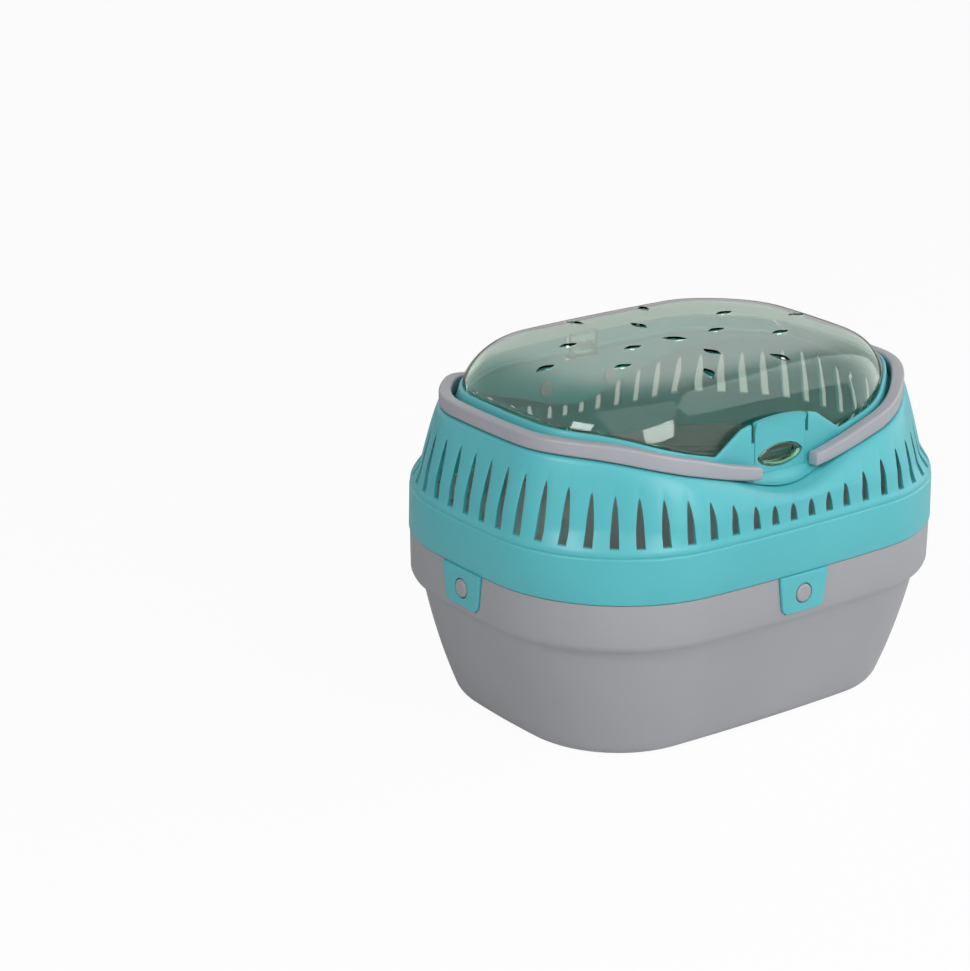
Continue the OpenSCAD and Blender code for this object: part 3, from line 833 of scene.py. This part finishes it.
def handle(side):
    s_end = HANDLE_X
    stations = []
    total = 2 * QUARTER
    s = s_end
    while s < total - s_end:
        stations.append(s)
        s += 2.2
    stations.append(total - s_end)
    r = 1.5
    wide = BAR_T + 1.0
    section = []
    for cx, cz, start in ((r, r, 180), (wide - r, r, 270), (wide - r, BAR_H - r, 0), (r, BAR_H - r, 90)):
        for t in (0, 22.5, 45, 67.5, 90):
            t = math.radians(start + t)
            section.append((cx + r * math.cos(t), cz + r * math.sin(t)))
    centre = (wide / 2, BAR_H / 2)

    def ring(s, shrink=0.0, push=0.0):
        a = angle_at(s + push)
        x = abs(spot(a, BAR_IN)[0])
        lift = BAR_Z + saddle(x)
        fuller = 0.9 * smooth((x - 20) / 20) + 1.1 * smooth((x - 35) / 30) - 1.2 * smooth((x - 98) / 26)
        out = []
        for d, z in section:
            dd = mix(d, centre[0], shrink / (wide / 2))
            zz = mix(z, centre[1], shrink / (BAR_H / 2))
            zz += fuller * max(0.0, z - r) / (BAR_H - 2 * r) if z < BAR_H - r else fuller
            x, y = spot(a, BAR_IN + dd - pull(a))
            out.append((side * x, y, lift + zz))
        return out

    rows = [ring(stations[0], 0.9), ring(stations[0], 0.35, 0.25), ring(stations[0], 0.0, 0.9)]
    rows += [ring(v) for v in stations[1:-1]]
    rows += [ring(stations[-1], 0.0, -0.9), ring(stations[-1], 0.35, -0.25), ring(stations[-1], 0.9)]
    n = len(section)
    faces = hoop_faces(n, len(rows), closed=False)
    faces += [tuple(range(n)), tuple(range((len(rows) - 1) * n, len(rows) * n))[::-1]]
    bar = ([p for r_ in rows for p in r_], faces)
    pins = []
    for k in (-1, 1):
        y = pin_face(k) - 0.3
        reach = COLLAR_Y + 3.2 - y
        profile = [(0.1, -0.9), (4.0, -0.9), (4.3, -0.6), (4.3, 0.0), (2.4, 0.0),
                   (2.4, reach), (0.1, reach)]
        pins.append(rounded_disc_stack(profile, (side * PIVOT_X, k * y, PIVOT_Z), (0, k, 0)))
    v, f = merge([bar] + pins)
    name = "handle_right" if side > 0 else "handle_left"
    return add_mesh(name + "_bar", v, f, HANDLE_GREY, name, (name,))


# Tub
def lean_point(t):
    p, q, r = (-27.0, 5.0), (-16.0, 32.0), (-8.6, 66.0)
    return tuple(p[i] * (1 - t) ** 2 + 2 * q[i] * t * (1 - t) + r[i] * t * t for i in (0, 1))


def tub():
    outer = [(-36.0, 0.0), (-35.0, 0.05), (-33.0, 0.3), (-31.0, 0.9),
             (-29.6, 1.7), (-28.4, 2.9), (-27.5, 4.2)]
    outer += [lean_point(i / 16) for i in range(17)]
    outer += [
        (-8.0, 67.6), (-7.2, 69.2), (-6.0, 70.9), (-4.6, 72.3), (-3.2, 73.4), (-2.1, 74.4),
        (-1.5, 75.4), (-1.2, 76.2), (-1.02, 76.6), (-0.92, 77.4), (-0.85, 80.0), (-0.62, 100.6),
        (-0.8, 101.1), (-1.2, 101.2), (-3.4, 101.2), (-3.4, 111.2), (-3.7, 111.5), (-5.5, 111.5),
        (-5.8, 111.2), (-5.8, 97.2), (-3.0, 95.2), (-3.6, 77.0), (-9.6, 68.5),
    ]
    outer += [(lean_point(t)[0] - 2.4, lean_point(t)[1] + 0.4) for t in (1.0, 0.75, 0.5, 0.25, 0.0)]
    outer += [(-32.0, 4.3), (-34.0, 4.1), (-47.0, 4.1), (-47.0, 1.5), (-46.6, 0.0)]
    angles = [angle_at(i * 4 * QUARTER / 320) for i in range(320)]
    verts = []
    for d, z in outer:
        verts += [spot(a, d) + (z,) for a in angles]
    obj = add_mesh("tub_wall", verts, hoop_faces(320, len(outer)), GREY, "base", ("base_tub",))
    cutters = []
    for k, half in ((0, HALF_L), (1, HALF_W), (2, HALF_L), (3, HALF_W)):
        low, high, w = 78.4, 101.6, 17.5 + 0.6
        pts = [(-w, high), (w, high), (15.3, low + 3.2), (12.4, low), (-12.4, low), (-15.3, low + 3.2)]
        c = prism([(p, q) for p, q in pts], half - 1.4, half + 9)
        upright = Matrix(((0, 0, 1, 0), (1, 0, 0, 0), (0, 1, 0, 0), (0, 0, 0, 1)))
        turn = Matrix.Rotation(math.pi / 2 * k, 4, "Z") @ upright
        c.data.transform(turn)
        c.data.update()
        cutters.append(c)
    cut(obj, cutters)
    finish_piece(obj, GREY, "base", ("base_tub",), 35.0)
    ring = [angle_at(i * 4 * QUARTER / 160) for i in range(160)]
    n = len(ring)
    rows = [[spot(a, -44.0) + (1.5,) for a in ring], [spot(a, -44.0) + (4.0,) for a in ring]]
    faces = hoop_faces(n, 2, closed=False) + [tuple(range(n))[::-1], tuple(range(n, 2 * n))]
    add_mesh("tub_floor", [p for r in rows for p in r], faces, GREY, "base", ("base_tub",))
    studs = []
    for k, half in ((0, HALF_L), (1, HALF_W), (2, HALF_L), (3, HALF_W)):
        c, s = round(math.cos(math.pi / 2 * k)), round(math.sin(math.pi / 2 * k))
        at = ((half - 2.9) * c, (half - 2.9) * s, 89.5)
        profile = [(0.1, 0), (5.3, 0), (5.3, 3.4), (5.1, 3.9), (4.5, 4.3), (3.6, 4.45), (0.1, 4.5)]
        studs.append(rounded_disc_stack(profile, at, (c, s, 0)))
    v, f = merge(studs)
    add_mesh("tub_studs", v, f, GREY, "base", ("base_tub",))


# Clips
def clip(k, half, name):
    """Tab between its outline and the stud's hole, with softened edges."""
    count = 160
    hole = 5.9
    centre_z = -12.0

    def inside(x, z):
        if z > -0.05 or z < -22.5:
            return False
        lim = mix(17.5, 14.5, -z / 22.5)
        if abs(x) > lim:
            return False
        cx, cz, r = 14.5 - 3.7, -22.5 + 4.0, 4.0
        if abs(x) > cx and z < cz:
            return math.hypot(abs(x) - cx, z - cz) <= r
        return True

    outline = []
    for i in range(count):
        t = 2 * math.pi * i / count
        c, s = math.cos(t), math.sin(t)
        lo, hi = 0.0, 40.0
        for _ in range(40):
            r = (lo + hi) / 2
            lo, hi = (r, hi) if inside(r * c, centre_z + r * s) else (lo, r)
        outline.append((lo * c, lo * s))
    turns = [2 * math.pi * i / count for i in range(count)]
    circle = [(hole * math.cos(t), hole * math.sin(t)) for t in turns]

    def ring(t, grow, d):
        out = []
        for (x0, z0), (x1, z1) in zip(circle, outline):
            x, z = mix(x0, x1, t), mix(z0, z1, t)
            r = math.hypot(x, z)
            x, z = x * (1 + grow / r), z * (1 + grow / r)
            out.append((x, d, centre_z + z))
        return out

    top, low = 0.9, -1.1
    rows = [ring(0, 0.35, top), ring(0.35, 0, top), ring(0.7, 0, top), ring(1, -0.45, top),
            ring(1, -0.13, top - 0.12), ring(1, 0, top - 0.45), ring(1, 0, low),
            ring(0.5, 0, low), ring(0, 0, low), ring(0, 0, top - 0.35), ring(0, 0.1, top - 0.1)]
    c, s = round(math.cos(math.pi / 2 * k)), round(math.sin(math.pi / 2 * k))
    verts = []
    for r in rows:
        for x, d, z in r:
            verts.append(((half + d) * c - x * s, (half + d) * s + x * c, SEAM + z))
    add_mesh(name + "_tab", verts, hoop_faces(count, len(rows)), TURQUOISE, name, (name,))


shell_wall()
shell_collar()
hinge_ears()
latch_tongue()
clear_lid()
lid_lug()
lid_hinge()
handle(1)
handle(-1)
tub()
clip(0, HALF_L, "clip_right")
clip(1, HALF_W, "clip_back")
clip(2, HALF_L, "clip_left")
clip(3, HALF_W, "clip_front")


# Stage
def white_when_seen(name, colour, rough, share):
    """Pale floor that is nearly white to camera rays, with a faint contact shadow."""
    mat = bpy.data.materials.new(name)
    mat.use_nodes = True
    n, link = mat.node_tree.nodes, mat.node_tree.links.new
    bsdf = n["Principled BSDF"]
    noise = n.new("ShaderNodeTexNoise")
    noise.inputs["Scale"].default_value = 3.0
    ramp = n.new("ShaderNodeValToRGB")
    ramp.color_ramp.elements[0].color = tuple(c * 0.985 for c in colour) + (1,)
    ramp.color_ramp.elements[1].color = colour + (1,)
    link(noise.outputs["Fac"], ramp.inputs["Fac"])
    link(ramp.outputs["Color"], bsdf.inputs["Base Color"])
    bsdf.inputs["Roughness"].default_value = rough
    glow = n.new("ShaderNodeEmission")
    glow.inputs["Strength"].default_value = 1.0
    path = n.new("ShaderNodeLightPath")
    part = n.new("ShaderNodeMath")
    part.operation = "MULTIPLY"
    part.inputs[1].default_value = share
    blend = n.new("ShaderNodeMixShader")
    link(path.outputs["Is Camera Ray"], part.inputs[0])
    link(part.outputs["Value"], blend.inputs["Fac"])
    link(bsdf.outputs["BSDF"], blend.inputs[1])
    link(glow.outputs["Emission"], blend.inputs[2])
    link(blend.outputs["Shader"], n["Material Output"].inputs["Surface"])
    return mat


floor_mesh = bpy.data.meshes.new("floor")
FLOOR = 6.0
corners = [(-FLOOR, -FLOOR, 0), (FLOOR, -FLOOR, 0), (FLOOR, FLOOR, 0), (-FLOOR, FLOOR, 0)]
floor_mesh.from_pydata(corners, [], [(0, 1, 2, 3)])
floor = bpy.data.objects.new("floor", floor_mesh)
bpy.context.scene.collection.objects.link(floor)
floor.location.z = -0.0002
floor_mesh.materials.append(white_when_seen("floor_pale", (0.93, 0.93, 0.93), 0.7, 0.95))

world = bpy.data.worlds.new("studio")
bpy.context.scene.world = world
world.use_nodes = True
wn, wl = world.node_tree.nodes, world.node_tree.links.new
background = wn["Background"]
path = wn.new("ShaderNodeLightPath")
AMBIENT = 0.02
seen = wn.new("ShaderNodeMath")
seen.operation = "MAXIMUM"
wl(path.outputs["Is Camera Ray"], seen.inputs[0])
wl(path.outputs["Is Glossy Ray"], seen.inputs[1])
seen_through = wn.new("ShaderNodeMath")
seen_through.operation = "MAXIMUM"
wl(seen.outputs["Value"], seen_through.inputs[0])
wl(path.outputs["Is Transmission Ray"], seen_through.inputs[1])
sky = wn.new("ShaderNodeMix")
sky.data_type = "RGBA"
sky.inputs["A"].default_value = (AMBIENT, AMBIENT, AMBIENT, 1)
sky.inputs["B"].default_value = (1.0, 1.0, 1.0, 1)
wl(seen_through.outputs["Value"], sky.inputs["Factor"])
wl(sky.outputs["Result"], background.inputs["Color"])
background.inputs["Strength"].default_value = 1.0


def area(name, place, target, w, h, power):
    data = bpy.data.lights.new(name, "AREA")
    data.shape, data.size, data.size_y, data.energy = "RECTANGLE", w, h, power
    obj = bpy.data.objects.new(name, data)
    bpy.context.scene.collection.objects.link(obj)
    obj.location = place
    obj.rotation_euler = (Vector(target) - Vector(place)).to_track_quat("-Z", "Y").to_euler()
    return obj


area("right", (1.5, -0.5, 0.9), (0, 0, 0.1), 1.9, 1.9, 13.3)
area("left", (-1.45, -0.4, 1.12), (0, 0, 0.1), 0.6, 0.6, 10.0)
area("front", (0.0, -1.5, 0.85), (0, 0, 0.15), 0.95, 0.5, 9.4)
area("front_top", (-0.2, -1.1, 1.4), (0, 0, 0.1), 1.8, 1.8, 7.4)

# Camera
YAW, PITCH, FOCAL, DIST = math.radians(35.74), math.radians(19.41), 2722.3, 1598.0
forward = Vector((math.sin(YAW) * math.cos(PITCH), math.cos(YAW) * math.cos(PITCH), -math.sin(PITCH)))
right = Vector((math.cos(YAW), -math.sin(YAW), 0))
up = right.cross(forward)
offset = right * ((670.6 - 485) / FOCAL * DIST) + up * (-(516.5 - 485.5) / FOCAL * DIST) + forward * DIST
place = (Vector((0, 0, 100.0)) - offset) * MM
camera_data = bpy.data.cameras.new("camera")
camera_data.sensor_fit, camera_data.sensor_width = "HORIZONTAL", 36.0
camera_data.lens = 36.0 * FOCAL / 970
camera_data.clip_start, camera_data.clip_end = 0.05, 50
camera = bpy.data.objects.new("camera", camera_data)
bpy.context.scene.collection.objects.link(camera)
camera.matrix_world = Matrix.Translation(place) @ Matrix((right, up, -forward)).transposed().to_4x4()
bpy.context.scene.camera = camera
bpy.context.scene.view_settings.view_transform = "Standard"
